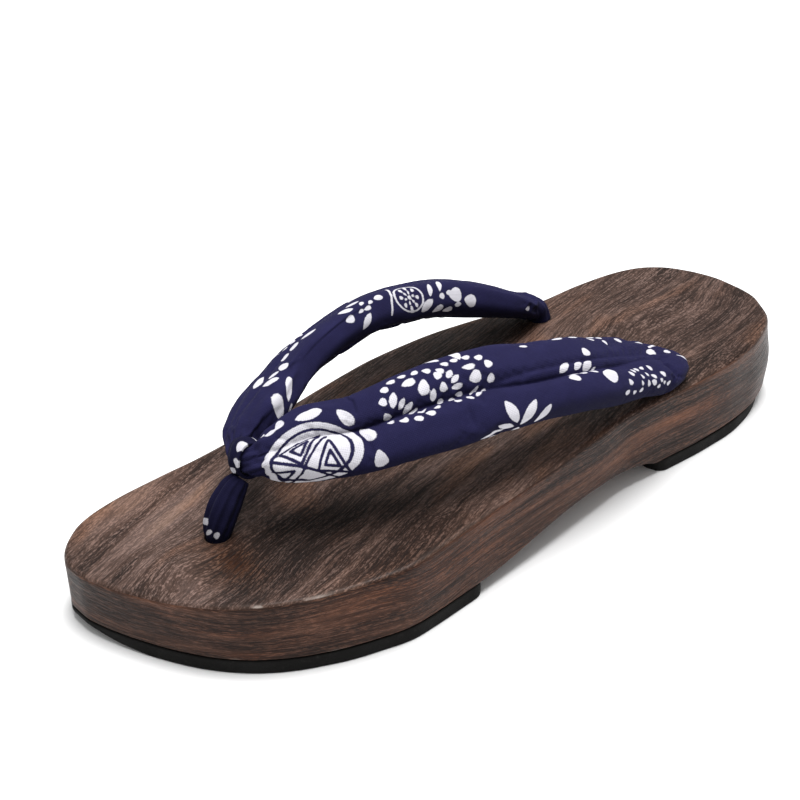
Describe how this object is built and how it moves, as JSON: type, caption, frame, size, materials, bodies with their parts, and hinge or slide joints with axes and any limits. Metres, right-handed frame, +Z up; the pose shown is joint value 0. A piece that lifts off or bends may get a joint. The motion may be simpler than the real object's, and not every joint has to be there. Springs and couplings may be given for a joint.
{
  "type": "geta sandal",
  "caption": "Left-foot geta sandal: a foot-shaped wooden board with an arched underside and rubber pads, and a padded fabric V strap held by a toe thong.",
  "frame": {"origin": "on the ground, in the middle of the sandal's length and width", "axes": "+X towards the toe, +Y towards the wearer's left, which is the outer side, +Z up"},
  "size_m": [0.27, 0.099, 0.0707],
  "materials": {
    "wood": "scorched and brushed grain under satin varnish",
    "rubber": "matt black",
    "strap_fabric": "plain cotton weave, indigo with a white print",
    "thong_fabric": "plain cotton weave, indigo with a white print"
  },
  "bodies": {
    "root": {"board": "wood", "front_outsole": "rubber", "heel_outsole": "rubber", "upper": "strap_fabric", "toe_thong": "thong_fabric"}
  },
  "joints": []
}
